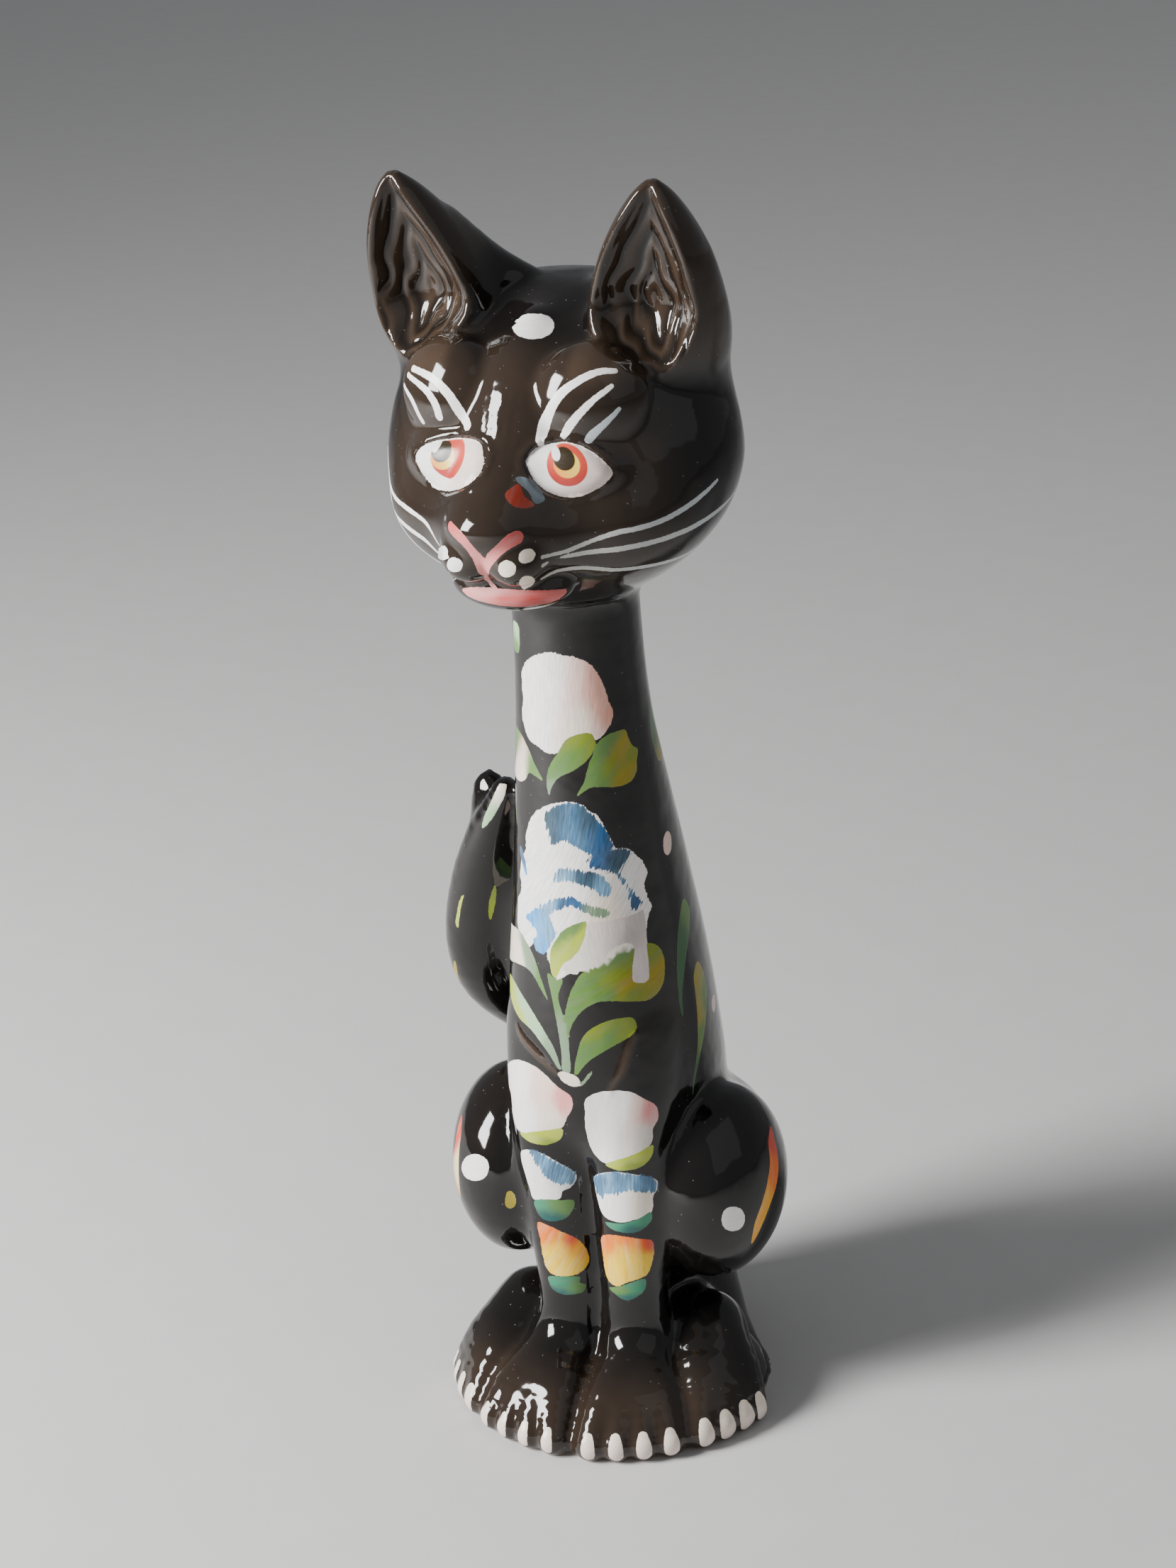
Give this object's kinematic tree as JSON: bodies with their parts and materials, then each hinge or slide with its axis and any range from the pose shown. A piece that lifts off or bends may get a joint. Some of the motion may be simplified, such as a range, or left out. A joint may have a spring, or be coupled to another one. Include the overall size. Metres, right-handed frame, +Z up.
{
  "type": "seated cat figurine",
  "caption": "Tall seated cat figurine with a long neck, upright hollowed ears, a bowed tail and paws spread as a fan base.",
  "frame": {"origin": "on the flat underside, at the middle of the bounding box", "axes": "+Z up along the neck; the cat faces -Y and its left side is +X"},
  "size_m": [0.0948, 0.0996, 0.3279],
  "materials": {
    "glazed_pottery": "glossy black glaze with cold-painted flowers"
  },
  "bodies": {
    "root": {"cat_figurine": "glazed_pottery"}
  },
  "joints": []
}
